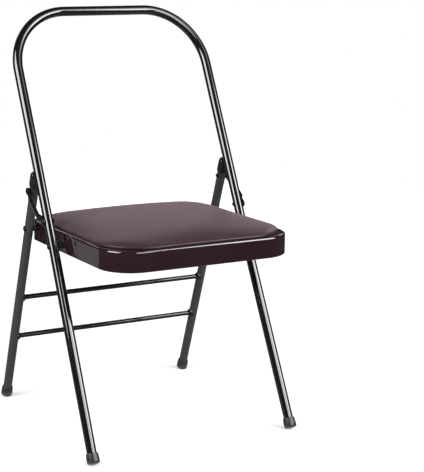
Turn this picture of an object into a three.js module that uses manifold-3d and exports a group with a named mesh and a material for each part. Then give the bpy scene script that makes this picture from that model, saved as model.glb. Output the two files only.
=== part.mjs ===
// Backless yoga chair: a folding steel chair with an open loop where the backrest would be.
// Millimetres, +Z up, the chair faces -Y, and its origin is on the floor under its middle.
// The side view is drawn from the point where the front leg's axis meets the floor.

import * as THREE from 'three';
import { mergeVertices, toCreasedNormals } from 'three/addons/utils/BufferGeometryUtils.js';
import Module from 'manifold-3d';

const wasm = await Module();
wasm.setup();

// Frame and stance
const frameWidth = 422;         // between the axes of the left and right sides
const frontLength = 898.6;      // floor to the axis of the loop's top bar, along the leg
const loopRadius = 122;         // bend at the loop's corners, on the tube's axis
const splay = 4.8;              // how far each front leg spreads outwards from the seat's pivot down
const frontLean = 27.3;         // degrees from upright, the top to the rear
const rearLean = 18.15;         // degrees from upright, the top to the front

// Tubes and rungs
const frontTubeRadius = 9.5;
const rearTubeRadius = 9;
const tubeWall = 1.2;
const rungRadius = 5;
const rungWall = 1;
const upperRungAlong = 243.2;   // along the rear leg from the floor
const lowerRungAlong = 149.4;
const weldRadius = 7;           // the weld's flare at each rung end
const weldLength = 5;

// Pivots of the fold, in the side view
const seatPivotAlong = 420;     // seat to front tube, along the front leg from the floor
const linkPivotRise = 49.1;     // link to front tube, further up that leg
const crossingRise = 161;       // where the legs' axes would cross, further up from the seat's pivot
const linkPinDrop = 8.3;        // link to rear leg, below the lip of that leg's cap

// Seat pan: pressed sheet with its sides turned down and their edge turned in
const panSideRoom = 7.7;        // between the front tube and the pan's side
const panHeight = 40.5;
const sheet = 1.5;
const panEdgeRadius = 5;        // between the top and the sides
const hemWidth = 8;
const hemRadius = 1.2;
const frontCornerRadius = 64.8;
const rearCornerRadius = 34;
const frontReach = 225.7;       // seat pivot to the pan's front edge
const pivotAboveHem = 13.9;
const seatPitch = 1.28;         // degrees, the rear lower

// Cushion on its board
const cushionInset = 6;         // pan edge to cushion edge
const cushionEdge = 9;          // height above the pan where the edge has rolled over
const cushionCrown = 27;        // height of its middle above the pan
const cushionRollWidth = 14;    // from the cushion's side to the top of the roll
const cushionRollHeight = 7;
const cushionDraw = 2.5;        // how far the sides pull in between the corners
const cushionTuck = 1.5;        // how far the bottom edge is tucked under
const cushionFrontCorner = 86;  // the cushion's own corner radii
const cushionRearCorner = 60;
const boardInset = 20;          // pan edge to board edge
const boardThickness = 6;

// Under the seat
const hingePlateThickness = 2.5;
const hingePlateRadius = 8.5;   // half the plate's width, round its pivots
const hingePlateRoom = 2.9;     // between the plate's rear end and the pan's top
const braceWidth = 32;
const braceDepth = 12;
const braceFlange = 10;
const braceEndGap = 3;
const screwHeadRadius = 4.5;
const screwHeadHeight = 2.4;
const screwRadius = 2;
const screwInset = 62;          // pan edge to screw

// Fasteners and bushes
const boltRadius = 3.2;
const boltHeadRadius = 6;
const boltHeadHeight = 2.2;
const boltTail = 2;             // thread past the nut
const nutRadius = 6.5;
const nutHeight = 5;
const rivetRadius = 3;
const rivetHeadRadius = 6;
const rivetHeadHeight = 2;
const tailHeadRadius = 5;       // the rivets' inner heads
const tailHeadHeight = 2;
const tailFlatShare = 0.7;      // the flat on the tail head, of its radius
const bushRadius = 6;
const washerRadius = 6.8;

// Link strap, stepped outwards between its ends to clear the seat bolt and the leg's cap
const linkWidth = 14.5;
const linkThickness = 1.8;
const linkWasherHeight = 0.5;   // between the front tube and the strap
const linkStep = 4.6;           // its middle, out from its front end
const linkRearStep = 2;         // its rear end, out from its front end
const linkFlat = 9;             // flat length past each pivot
const linkRamp = 7;             // length of each step

// Ferrules on the legs and caps on the rear legs' tops
const footLength = 21.5;
const footFlare = 3;            // how far the foot's widest part stands out from the tube
const footLip = 0.9;            // thickness of its lip
const footFlareStart = 8;       // above the sole's middle, where it begins to narrow
const footEdgeRadius = 3.4;
const soleRise = 1.4;           // dome of the sole
const footBase = 6;             // thickness under the tube's end
const floorCut = 0.7;           // depth of the flat worn on the foot's heel
const capLength = 32;
const capRise = 6;              // how far its top reaches up along the front tube
const capWall = 2;
const capLip = 1.1;             // thickness of its lip
const capFlare = 5;             // length of the flare above the cap's lip
const capEdgeRadius = 8;
const capBase = 19;             // tube end to the cap's top

// Clearances
const seatGap = 0.3;            // between pieces that touch or are fitted together
const runningGap = 0.45;        // round a pivot's shank
const overrun = 4;              // how far a cutting shape passes what it cuts

// Facets
const tubeSides = 16;
const boreSides = 12;
const pinSides = 16;
const footSides = 20;
const bendSteps = 11;
const roundSteps = 4;
const flareSteps = 4;
const cornerSteps = 7;
const sideSteps = 7;
const crownSteps = 8;
const creaseAngle = 35;         // degrees

// Finishes
const glossBlack = finish(0x0c0c0d, 0.16, 0);
const satinBlack = finish(0x303031, 0.45, 0);
const plumEnamel = finish(0x2c1d20, 0.22, 0);
const plumVinyl = finish(0x5c4a4e, 0.5, 0);
const plywood = finish(0xb08a5a, 0.8, 0);
const blackPlastic = finish(0x2a2a2c, 0.5, 0);
const nylon = finish(0x1b1b1c, 0.55, 0);
const zinc = finish(0xa9adb2, 0.3, 1);
const blackSteel = finish(0x161617, 0.3, 0.4);

// Places worked out from the sizes above
const degree = Math.PI / 180;
const halfWidth = frameWidth / 2;
const frontAngle = frontLean * degree;
const rearAngle = rearLean * degree;
const pitchAngle = seatPitch * degree;
const sides = { left: -1, right: 1 };
const seatPivot = frontPoint(seatPivotAlong);
const linkPivotAlong = seatPivotAlong + linkPivotRise;
const linkPivot = frontPoint(linkPivotAlong);
const crossing = frontPoint(seatPivotAlong + crossingRise);
const crossingAlong = crossing.y / Math.cos(rearAngle);
const stance = crossing.x + crossing.y * Math.tan(rearAngle);
const panTop = panHeight - pivotAboveHem;
const rearPivotAlong = rearAlongAt(panTop - sheet - hingePlateRoom - hingePlateRadius);
const rearPivot = rearPoint(rearPivotAlong);
const capRadius = rearTubeRadius + seatGap + capWall;
const capLipRadius = rearTubeRadius + seatGap + capLip;
const linkPinAlong = legCapTop() - capLength - linkPinDrop;
const linkPin = rearPoint(linkPinAlong);
const linkReach = linkPivot.distanceTo(linkPin);
const linkAngle = Math.atan2(linkPin.y - linkPivot.y, linkPin.x - linkPivot.x);
const rearPivotInSeat = rearPivot.clone().sub(seatPivot).rotateAround(new THREE.Vector2(), pitchAngle);
const panWidth = frameWidth - 2 * (frontTubeRadius + panSideRoom);
const panRear = rearPivotInSeat.x + hingePlateRadius + seatGap + rearCornerRadius;
const panMiddle = (panRear - frontReach) / 2;
const panFace = panWidth / 2 - halfWidth;
const plateFace = panFace - sheet - seatGap;
const plateBack = plateFace - hingePlateThickness;
const linkInnerFace = frontTubeRadius + linkWasherHeight + 2 * seatGap;
const linkRearFace = linkInnerFace + linkRearStep;

// A plain finish
function finish(color, roughness, metalness) {
  return new THREE.MeshStandardMaterial({ color, roughness, metalness });
}

// A point on the front leg's axis, as front-to-back and height
function frontPoint(along) {
  return new THREE.Vector2(along * Math.sin(frontAngle), along * Math.cos(frontAngle));
}

// A point on the rear leg's axis, as front-to-back and height
function rearPoint(along) {
  return new THREE.Vector2(stance - along * Math.sin(rearAngle), along * Math.cos(rearAngle));
}

// How far along the rear leg its axis is at a height above the seat's pivot in the pan
function rearAlongAt(rise) {
  const level = seatPivot.y * Math.cos(pitchAngle) + (seatPivot.x - stance) * Math.sin(pitchAngle);
  return (level + rise) / Math.cos(rearAngle + pitchAngle);
}

// A closed geometry as a solid that can be cut and joined
function solidOf(geometry) {
  const bare = geometry.clone();
  bare.deleteAttribute('normal');
  bare.deleteAttribute('uv');
  const merged = mergeVertices(bare);
  return new wasm.Manifold(new wasm.Mesh({
    numProp: 3,
    vertProperties: new Float32Array(merged.attributes.position.array),
    triVerts: new Uint32Array(merged.index.array),
  }));
}

// A cut or joined solid as a geometry again
function geometryOf(solid) {
  const mesh = solid.getMesh();
  const geometry = new THREE.BufferGeometry();
  geometry.setAttribute('position', new THREE.BufferAttribute(new Float32Array(mesh.vertProperties), 3));
  geometry.setIndex(new THREE.BufferAttribute(new Uint32Array(mesh.triVerts), 1));
  return toCreasedNormals(geometry, creaseAngle * degree);
}

// A geometry with others cut out of it
function cut(geometry, ...cutters) {
  return geometryOf(cutters.reduce((solid, cutter) => solid.subtract(solidOf(cutter)), solidOf(geometry)));
}

// The part of a geometry that lies inside another
function common(geometry, other) {
  return geometryOf(solidOf(geometry).intersect(solidOf(other)));
}

// One named piece in its group
function add(group, name, geometry, material) {
  const mesh = new THREE.Mesh(geometry, material);
  mesh.name = name;
  group.add(mesh);
  return mesh;
}

// A disc, with a hole if a second radius is given
function disc(radius, holeRadius = 0) {
  const shape = new THREE.Shape().absarc(0, 0, radius, 0, 2 * Math.PI);
  if (holeRadius > 0) {
    shape.holes.push(new THREE.Path().absarc(0, 0, holeRadius, 0, 2 * Math.PI, true));
  }
  return shape;
}

// A straight bar or tube of any section, along +Z from one height to another
function prism(shape, from, to, facets) {
  const geometry = new THREE.ExtrudeGeometry(shape, {
    depth: to - from,
    bevelEnabled: false,
    curveSegments: facets / 2,
  });
  return geometry.translate(0, 0, from);
}

// A turned piece about +Z, from its half section as radius and height pairs
function turned(profile, facets) {
  const points = profile.map(([radius, height]) => new THREE.Vector2(radius, height));
  return new THREE.LatheGeometry(points, facets).rotateX(Math.PI / 2);
}

// A piece drawn along +Z laid along X, pointing out of the chair on its side
function outwards(geometry, side) {
  return geometry.rotateY(side * Math.PI / 2);
}

// A quarter of a round edge as radius and height pairs, from one direction to another in degrees
function roundEdge(centreRadius, centreHeight, radius, from, to) {
  return Array.from({ length: roundSteps + 1 }, (_, i) => {
    const angle = (from + (to - from) * i / roundSteps) * degree;
    return [centreRadius + radius * Math.cos(angle), centreHeight + radius * Math.sin(angle)];
  });
}

// The low dome of a bolt or rivet head as radius and height pairs, from its rim to the axis
function dome(radius, height, seat) {
  return Array.from({ length: roundSteps + 1 }, (_, i) => {
    const angle = Math.PI / 2 * i / roundSteps;
    return [radius * Math.cos(angle), seat + height * Math.sin(angle)];
  }).map(([r, h], i) => [i === roundSteps ? 0 : r, h]);
}

// A path with one step from each point to the next, so straight runs take one step and bends many
class SteppedPath extends THREE.Curve {
  constructor(points) {
    super();
    this.points = points;
  }

  getPoint(t, target = new THREE.Vector3()) {
    const at = t * (this.points.length - 1);
    const i = Math.min(Math.floor(at), this.points.length - 2);
    return target.lerpVectors(this.points[i], this.points[i + 1], at - i);
  }

  // The mean direction of the two runs that meet at a point
  getTangent(t, target = new THREE.Vector3()) {
    const last = this.points.length - 1;
    const i = Math.round(t * last);
    const before = this.points[Math.max(i - 1, 0)];
    const here = this.points[i];
    const after = this.points[Math.min(i + 1, last)];
    const arriving = here.clone().sub(before).normalize();
    const leaving = after.clone().sub(here).normalize();
    return target.addVectors(arriving, leaving).normalize();
  }

  getUtoTmapping(u) {
    return u;
  }
}

// The front tube's axis in the plane of the loop: up the left leg, over the top and down the right
function frontAxis() {
  const points = [];
  const place = (x, along) => points.push(new THREE.Vector3(x, 0, along));
  const bend = (side, from, to) => {
    for (let i = 0; i <= bendSteps; i += 1) {
      const angle = (from + (to - from) * i / bendSteps) * degree;
      const centre = side * (halfWidth - loopRadius);
      place(centre + loopRadius * Math.cos(angle), frontLength - loopRadius + loopRadius * Math.sin(angle));
    }
  };
  const end = frontFootAlong() + footBase + seatGap;
  place(-footAxisX(end), end);
  place(-halfWidth, seatPivotAlong);
  bend(-1, 180, 90);
  bend(1, 90, 0);
  place(halfWidth, seatPivotAlong);
  place(footAxisX(end), end);
  return points;
}

// How far out the splayed leg's axis is at a distance along the leg
function footAxisX(along) {
  return halfWidth + splay * (1 - along / seatPivotAlong);
}

// The bent tube that makes the front legs and the open loop
function frontTube() {
  const points = frontAxis();
  const tube = new THREE.ExtrudeGeometry(disc(frontTubeRadius, frontTubeRadius - tubeWall), {
    steps: points.length - 1,
    extrudePath: new SteppedPath(points),
    curveSegments: tubeSides / 2,
  });
  const across = (radius, along) => {
    const reach = halfWidth + frontTubeRadius + overrun;
    return prism(disc(radius), -reach, reach, pinSides).rotateY(Math.PI / 2).translate(0, 0, along);
  };
  const boltHole = across(boltRadius + seatGap, seatPivotAlong);
  const rivetHole = across(rivetRadius + seatGap, linkPivotAlong);
  return cut(tube, boltHole, rivetHole);
}

// Half section of a ferrule: a cup open at the top, with a domed sole, a round edge and a flare
function footProfile(tubeRadius) {
  const bore = tubeRadius + seatGap;
  const lip = tubeRadius + seatGap + footLip;
  const body = tubeRadius + footFlare;
  const soleRadius = body - footEdgeRadius;
  const sole = Array.from({ length: roundSteps }, (_, i) => {
    const share = i / roundSteps;
    return [soleRadius * share, soleRise * share ** 2];
  });
  const flare = Array.from({ length: flareSteps + 1 }, (_, i) => {
    const share = i / flareSteps;
    const swell = (1 + Math.cos(Math.PI * share)) / 2;
    return [lip + (body - lip) * swell, footFlareStart + (footLength - footFlareStart) * share];
  });
  return [
    ...sole,
    ...roundEdge(soleRadius, soleRise + footEdgeRadius, footEdgeRadius, -90, 0),
    ...flare,
    [bore, footLength],
    [bore, footBase],
    [0, footBase],
  ];
}

// How far along a leg with this lean its ferrule's sole lies, so that the heel is cut flat
function footAlong(tubeRadius, lean) {
  const depths = footProfile(tubeRadius).map(([r, h]) => h * Math.cos(lean) - r * Math.sin(lean));
  return -(Math.min(...depths) + floorCut) / Math.cos(lean);
}

// The front ferrule's sole, along the front leg from the floor
function frontFootAlong() {
  return footAlong(frontTubeRadius, frontAngle);
}

// A ferrule on its leg, cut flat at the floor; the placement takes it into the chair
function foot(tubeRadius, along, placement) {
  const ferrule = turned(footProfile(tubeRadius), footSides).translate(0, 0, along);
  const below = footLength;
  const floor = new THREE.BoxGeometry(2 * below, 2 * below, below).translate(0, 0, -below / 2);
  const centre = new THREE.Vector3(0, 0, along).applyMatrix4(placement);
  floor.translate(centre.x, centre.y, 0).applyMatrix4(placement.clone().invert());
  return cut(ferrule, floor);
}

// The cap's highest point along the rear leg
function legCapTop() {
  const between = frontAngle + rearAngle;
  const flatRadius = capRadius - capEdgeRadius;
  const reach = frontTubeRadius + seatGap + capEdgeRadius + flatRadius * Math.cos(between);
  return crossingAlong - reach / Math.sin(between) + capEdgeRadius + capRise;
}

// The cap on a rear leg's top, with a slanted flat that bears on the open chair's front tube
function legCap() {
  const top = legCapTop();
  const bore = rearTubeRadius + seatGap;
  const cap = turned([
    [0, top - capBase],
    [bore, top - capBase],
    [bore, top - capLength],
    [capLipRadius, top - capLength],
    [capRadius, top - capLength + capFlare],
    ...roundEdge(capRadius - capEdgeRadius, top - capEdgeRadius, capEdgeRadius, 0, 90),
    [0, top],
  ], footSides);
  const block = 2 * capLength;
  const bearing = new THREE.BoxGeometry(block, block, 2 * block)
    .translate(0, frontTubeRadius + seatGap - capLength, 0)
    .rotateX(-frontAngle - rearAngle)
    .translate(0, 0, crossingAlong);
  return cut(cap, bearing);
}

// A rear leg's tube, drilled across for its two pivots
function rearLeg() {
  const from = footAlong(rearTubeRadius, rearAngle) + footBase + seatGap;
  const to = legCapTop() - capBase - seatGap;
  const tube = prism(disc(rearTubeRadius, rearTubeRadius - tubeWall), from, to, tubeSides);
  const across = (along) => {
    const reach = rearTubeRadius + overrun;
    return prism(disc(rivetRadius + seatGap), -reach, reach, pinSides)
      .rotateY(Math.PI / 2)
      .translate(0, 0, along);
  };
  return cut(tube, across(rearPivotAlong), across(linkPinAlong));
}

// A rung between the rear legs, coped to their round and flared at each end by its weld
function rung() {
  const reach = halfWidth - rearTubeRadius;
  const flareStart = reach - weldLength;
  const bore = rungRadius - rungWall;
  const bar = turned([
    [bore, -halfWidth],
    [weldRadius, -halfWidth],
    [weldRadius, -reach],
    [rungRadius, -flareStart],
    [rungRadius, flareStart],
    [weldRadius, reach],
    [weldRadius, halfWidth],
    [bore, halfWidth],
    [bore, -halfWidth],
  ], tubeSides).rotateY(Math.PI / 2);
  const legs = Object.values(sides).map((side) => {
    const reachUp = weldRadius + overrun;
    const leg = prism(disc(rearTubeRadius + seatGap), -reachUp, reachUp, pinSides);
    return leg.translate(side * halfWidth, 0, 0);
  });
  return cut(bar, ...legs);
}

// Closed loft through rings of equally many points, with a fan over the first and the last
function loft(rings) {
  const count = rings[0].length;
  const positions = [];
  const index = [];
  const put = (point) => positions.push(point.x, point.y, point.z);
  rings.forEach((ring) => ring.forEach(put));
  for (let i = 0; i < rings.length - 1; i += 1) {
    for (let j = 0; j < count; j += 1) {
      const a = i * count + j;
      const b = i * count + (j + 1) % count;
      index.push(a, b, b + count, a, b + count, a + count);
    }
  }
  const middle = (ring) => ring.reduce((sum, p) => sum.add(p), new THREE.Vector3()).divideScalar(count);
  const first = rings.length * count;
  const lastRing = first - count;
  put(middle(rings[0]));
  put(middle(rings[rings.length - 1]));
  for (let j = 0; j < count; j += 1) {
    const k = (j + 1) % count;
    index.push(first, k, j, first + 1, lastRing + j, lastRing + k);
  }
  const geometry = new THREE.BufferGeometry();
  geometry.setAttribute('position', new THREE.Float32BufferAttribute(positions, 3));
  geometry.setIndex(index);
  return geometry;
}

// The pan's plan at an inset from its edge and a height
function panRing(inset, height) {
  return seatRing(inset, height, 0, frontCornerRadius, rearCornerRadius);
}

// The cushion's plan at an inset from the pan's edge and a height, with its sides drawn in
function cushionRing(inset, height, draw) {
  return seatRing(inset, height, draw, cushionFrontCorner + cushionInset, cushionRearCorner + cushionInset);
}

// A plan at an inset from the pan's edge, with corners as round as the radii at no inset
function seatRing(inset, height, draw, frontCorner, rearCorner) {
  const left = -panWidth / 2 + inset;
  const right = panWidth / 2 - inset;
  const front = -frontReach + inset;
  const rear = panRear - inset;
  const frontRound = frontCorner - inset;
  const rearRound = rearCorner - inset;
  const corners = [
    [right - frontRound, front + frontRound, frontRound],
    [right - rearRound, rear - rearRound, rearRound],
    [left + rearRound, rear - rearRound, rearRound],
    [left + frontRound, front + frontRound, frontRound],
  ];
  const arcs = corners.map(([x, y, radius], corner) => {
    return Array.from({ length: cornerSteps + 1 }, (_, i) => {
      const angle = (corner - 1 + i / cornerSteps) * Math.PI / 2;
      return new THREE.Vector3(x + radius * Math.cos(angle), y + radius * Math.sin(angle), height);
    });
  });
  const ring = [];
  arcs.forEach((arc, corner) => {
    const from = arc[cornerSteps];
    const to = arcs[(corner + 1) % arcs.length][0];
    const inwards = new THREE.Vector3(from.y - to.y, to.x - from.x, 0).normalize();
    ring.push(...arc);
    for (let i = 1; i < sideSteps; i += 1) {
      const share = i / sideSteps;
      const pull = draw * Math.sin(Math.PI * share);
      ring.push(from.clone().lerp(to, share).addScaledVector(inwards, pull));
    }
  });
  return ring;
}

// Rings round an edge of the seat, from one direction to another in degrees
function seatEdge(inset, height, radius, from, to) {
  return roundEdge(inset, height, radius, from, to).map(([i, h]) => panRing(i, h));
}

// The pressed seat pan, with its pivot and screw holes
function seatPan() {
  const hem = -pivotAboveHem;
  const inner = panEdgeRadius - sheet;
  const pan = loft([
    panRing(panEdgeRadius, panTop - sheet),
    ...seatEdge(panEdgeRadius, panTop - panEdgeRadius, inner, 90, 180),
    panRing(sheet, hem + sheet),
    panRing(hemWidth, hem + sheet),
    panRing(hemWidth, hem),
    ...seatEdge(hemRadius, hem + hemRadius, hemRadius, 270, 180),
    ...seatEdge(panEdgeRadius, panTop - panEdgeRadius, panEdgeRadius, 180, 90),
  ]);
  const seatHole = sideways(boltRadius + runningGap, 0, 0);
  const rearHole = sideways(rivetRadius + runningGap, rearPivotInSeat.x, rearPivotInSeat.y);
  const screwHoles = screwPlaces().map(([x, y]) => {
    return prism(disc(screwRadius + seatGap), panTop - sheet - overrun, panTop + overrun, boreSides)
      .translate(x, y, 0);
  });
  return cut(pan, seatHole, rearHole, ...screwHoles);
}

// A cutter across the whole seat at a place in the seat's side view
function sideways(radius, y, z) {
  const reach = panWidth / 2 + overrun;
  return prism(disc(radius), -reach, reach, pinSides).rotateY(Math.PI / 2).translate(0, y, z);
}

// Where the four cushion screws stand
function screwPlaces() {
  const x = panWidth / 2 - screwInset;
  const front = -frontReach + screwInset;
  const rear = panRear - screwInset;
  return [[-x, front], [x, front], [-x, rear], [x, rear]];
}

// The board under the cushion, with its screw holes
function seatBoard() {
  const bottom = panTop + seatGap;
  const board = loft([bottom, bottom + boardThickness].map((height) => cushionRing(boardInset, height, 0)));
  const depth = boardThickness - sheet;
  const holes = screwPlaces().map(([x, y]) => {
    return prism(disc(screwRadius + seatGap), bottom - overrun, bottom + depth, boreSides)
      .translate(x, y, 0);
  });
  return cut(board, ...holes);
}

// The cushion: an edge that rolls over into a crown, hollow below for its board
function seatCushion() {
  const bottom = panTop + seatGap;
  const edgeTop = bottom + cushionEdge;
  const rollStart = edgeTop - cushionRollHeight;
  const rollInset = cushionInset + cushionRollWidth;
  const rolled = Array.from({ length: roundSteps + 1 }, (_, i) => {
    const angle = Math.PI / 2 * i / roundSteps;
    const inset = rollInset - cushionRollWidth * Math.cos(angle);
    const height = rollStart + cushionRollHeight * Math.sin(angle);
    return cushionRing(inset, height, cushionDraw * Math.cos(angle));
  });
  const tucked = roundEdge(cushionInset + cushionTuck, bottom + cushionTuck, cushionTuck, 270, 180);
  const cushion = loft([
    ...tucked.map(([inset, height]) => cushionRing(inset, height, cushionDraw)),
    ...rolled,
    ...crownRings(rolled[roundSteps], panWidth / 2 - rollInset, cushionCrown - cushionEdge),
  ]);
  const pocketTop = bottom + boardThickness + seatGap;
  const pocketInset = boardInset - seatGap;
  const pocket = loft([bottom - overrun, pocketTop].map((height) => cushionRing(pocketInset, height, 0)));
  return cut(cushion, pocket);
}

// Rings that rise from the cushion's shoulder to its middle and grow round on the way
function crownRings(shoulder, roundRadius, rise) {
  const middle = new THREE.Vector3(0, panMiddle, 0);
  return Array.from({ length: crownSteps }, (_, i) => {
    const share = (i + 1) / (crownSteps + 1);
    const height = shoulder[0].z + rise * (1 - (1 - share) ** 2);
    return shoulder.map((point) => {
      const spoke = point.clone().sub(middle).setZ(0);
      const round = spoke.clone().setLength(roundRadius);
      return spoke.lerp(round, share).multiplyScalar(1 - share).add(middle).setZ(height);
    });
  });
}

// A rounded strap outline from the origin to a point, as wide as twice its end radius
function strapShape(to, radius) {
  const angle = Math.atan2(to.y, to.x);
  const shape = new THREE.Shape();
  shape.absarc(0, 0, radius, angle + Math.PI / 2, angle + 3 * Math.PI / 2);
  shape.absarc(to.x, to.y, radius, angle - Math.PI / 2, angle + Math.PI / 2);
  shape.closePath();
  return shape;
}

// A plate drawn in the side view, between two distances out of the chair on its side
function sidePlate(shape, from, to, side) {
  const [low, high] = side > 0 ? [from, to] : [-to, -from];
  return prism(shape, low, high, pinSides).rotateX(Math.PI / 2).rotateZ(Math.PI / 2);
}

// The plate inside the pan's side that carries both of the seat's pivots
function hingePlate(side) {
  const plate = sidePlate(strapShape(rearPivotInSeat, hingePlateRadius), plateBack, plateFace, side);
  plate.translate(side * halfWidth, 0, 0);
  return cut(
    plate,
    sideways(boltRadius + runningGap, 0, 0),
    sideways(rivetRadius + runningGap, rearPivotInSeat.x, rearPivotInSeat.y),
  );
}

// A hat-section brace across the underside of the pan's top
function seatBrace() {
  const top = panTop - sheet - seatGap;
  const half = braceWidth / 2;
  const outline = [
    [-half - braceFlange, 0], [-half - braceFlange, -sheet], [-half - sheet, -sheet],
    [-half - sheet, -braceDepth], [half + sheet, -braceDepth], [half + sheet, -sheet],
    [half + braceFlange, -sheet], [half + braceFlange, 0], [half, 0],
    [half, sheet - braceDepth], [-half, sheet - braceDepth], [-half, 0],
  ];
  const shape = new THREE.Shape(outline.map(([y, z]) => new THREE.Vector2(y, z)));
  const reach = panWidth / 2 - sheet - hingePlateThickness - braceEndGap;
  return sidePlate(shape, -reach, reach, 1).translate(0, panMiddle, top);
}

// A screw from under the pan into the board
function cushionScrew() {
  const seat = panTop - sheet - seatGap;
  const tip = panTop + boardThickness - sheet - seatGap;
  return turned([
    [0, seat - screwHeadHeight],
    [screwHeadRadius, seat - screwHeadHeight / 2],
    [screwHeadRadius, seat],
    [screwRadius, seat],
    [screwRadius, tip - screwRadius],
    [0, tip],
  ], boreSides);
}

// Half section of a headed pin: its tail head, if it has one, then the shank and the domed head
function pinProfile(radius, inner, outer, headRadius, headHeight, tail = 0) {
  const start = tail > 0 ? tailHead(tail, inner) : [[0, inner]];
  return [...start, [radius, inner], [radius, outer], ...dome(headRadius, headHeight, outer)];
}

// A rivet's low conical tail head as radius and height pairs, from the axis to its rim
function tailHead(radius, seat) {
  return [[0, seat - tailHeadHeight], [radius * tailFlatShare, seat - tailHeadHeight], [radius, seat]];
}

// A turned pin laid outwards at the side's plane
function pin(profile, side) {
  return outwards(turned(profile, pinSides), side).translate(side * halfWidth, 0, 0);
}

// A ring round a pin, between two distances out from the side's plane
function ring(outerRadius, holeRadius, from, to, side) {
  return outwards(prism(disc(outerRadius, holeRadius), from, to, pinSides), side)
    .translate(side * halfWidth, 0, 0);
}

// The bolt that the seat turns on
function seatBolt(side) {
  const nutBack = plateBack - seatGap - nutHeight;
  const outer = frontTubeRadius + seatGap;
  return pin(pinProfile(boltRadius, nutBack - boltTail, outer, boltHeadRadius, boltHeadHeight), side);
}

// The hexagonal nut on the seat bolt, inside the pan
function seatNut(side) {
  const corners = Array.from({ length: 6 }, (_, i) => {
    const angle = i * Math.PI / 3;
    return new THREE.Vector2(nutRadius * Math.cos(angle), nutRadius * Math.sin(angle));
  });
  const hexagon = new THREE.Shape(corners);
  hexagon.holes.push(new THREE.Path().absarc(0, 0, boltRadius + seatGap, 0, 2 * Math.PI, true));
  const front = plateBack - seatGap;
  const nut = prism(hexagon, front - nutHeight, front, pinSides);
  return outwards(nut, side).translate(side * halfWidth, 0, 0);
}

// The rivet that the rear leg hangs on, through the leg, its bush, the pan and the hinge plate
function rearRivet(side) {
  const inner = plateBack - seatGap;
  const outer = rearTubeRadius + seatGap;
  return pin(pinProfile(rivetRadius, inner, outer, rivetHeadRadius, rivetHeadHeight, tailHeadRadius), side);
}

// The rivet through the front tube that the link turns on
function linkRivet(side) {
  const inner = -frontTubeRadius - seatGap;
  const outer = linkInnerFace + linkThickness + seatGap;
  return pin(pinProfile(rivetRadius, inner, outer, rivetHeadRadius, rivetHeadHeight, tailHeadRadius), side);
}

// The pin through the rear leg that ends under the link, with the collar that the link runs on
function linkStub(side) {
  const inner = -rearTubeRadius - seatGap;
  const outer = rearTubeRadius + seatGap;
  const end = linkRearFace - seatGap;
  return pin([
    ...tailHead(tailHeadRadius, inner),
    [rivetRadius, inner],
    [rivetRadius, outer],
    [washerRadius, outer],
    [washerRadius, end],
    [0, end],
  ], side);
}

// The rivet's outer head and neck, which stay in the link's rear end
function linkHead(side) {
  const outer = linkRearFace + linkThickness + seatGap;
  return pin(pinProfile(rivetRadius, linkRearFace, outer, rivetHeadRadius, rivetHeadHeight), side);
}

// The stepped strap between the front tube and the rear leg, drawn along +Y from its front pivot
function linkStrap(side) {
  const endReach = linkWidth / 2;
  const stations = [
    [-endReach, 0], [linkFlat, 0], [linkFlat + linkRamp, linkStep],
    [linkReach - linkFlat - linkRamp, linkStep], [linkReach - linkFlat, linkRearStep],
    [linkReach + endReach, linkRearStep],
  ];
  const inner = stations.map(([y, out]) => new THREE.Vector2(y, linkInnerFace + out));
  const outer = inner.map((point) => new THREE.Vector2(point.x, point.y + linkThickness)).reverse();
  const bent = prism(new THREE.Shape([...inner, ...outer]), -endReach, endReach, 2);
  const toSide = new THREE.Matrix4().set(0, side, 0, 0, 1, 0, 0, 0, 0, 0, -side, 0, 0, 0, 0, 1);
  bent.applyMatrix4(toSide);
  const outline = strapShape(new THREE.Vector2(linkReach, 0), endReach);
  const high = linkInnerFace + linkStep + linkThickness + overrun;
  const strap = common(bent, sidePlate(outline, linkInnerFace - overrun, high, side));
  const hole = (y) => {
    return outwards(prism(disc(rivetRadius + seatGap), 0, high, pinSides), side).translate(0, y, 0);
  };
  return cut(strap, hole(0), hole(linkReach)).translate(side * halfWidth, 0, 0);
}

// A group standing at a place in the side view and turned about X
function hinged(parent, place, turn) {
  const group = new THREE.Group();
  group.position.set(0, place.x, place.y);
  group.rotation.x = turn;
  parent.add(group);
  group.updateMatrixWorld();
  return group;
}

// The front frame: the looped tube, its ferrules and the pivots that it carries
function buildFrontFrame(chair) {
  const frame = hinged(chair, new THREE.Vector2(), -frontAngle);
  add(frame, 'front_tube', frontTube(), glossBlack);
  for (const [name, side] of Object.entries(sides)) {
    const leg = new THREE.Group();
    leg.position.x = side * footAxisX(0);
    leg.rotation.y = -side * Math.atan(splay / seatPivotAlong);
    frame.add(leg);
    leg.updateMatrixWorld();
    add(leg, `front_foot_${name}`, foot(frontTubeRadius, frontFootAlong(), leg.matrixWorld), blackPlastic);

    const seatLevel = new THREE.Vector3(0, 0, seatPivotAlong);
    const bushSeat = -frontTubeRadius - seatGap;
    const bush = ring(bushRadius, boltRadius + seatGap, panFace + seatGap, bushSeat, side);
    add(frame, `seat_bolt_${name}`, seatBolt(side), blackSteel).position.copy(seatLevel);
    add(frame, `seat_bush_${name}`, bush, nylon).position.copy(seatLevel);
    add(frame, `seat_nut_${name}`, seatNut(side), zinc).position.copy(seatLevel);

    const linkLevel = new THREE.Vector3(0, 0, linkPivotAlong);
    const washerSeat = frontTubeRadius + seatGap;
    const washer = ring(washerRadius, rivetRadius + seatGap, washerSeat, linkInnerFace - seatGap, side);
    add(frame, `link_rivet_${name}`, linkRivet(side), blackSteel).position.copy(linkLevel);
    add(frame, `link_washer_${name}`, washer, nylon).position.copy(linkLevel);
  }
}

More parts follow.
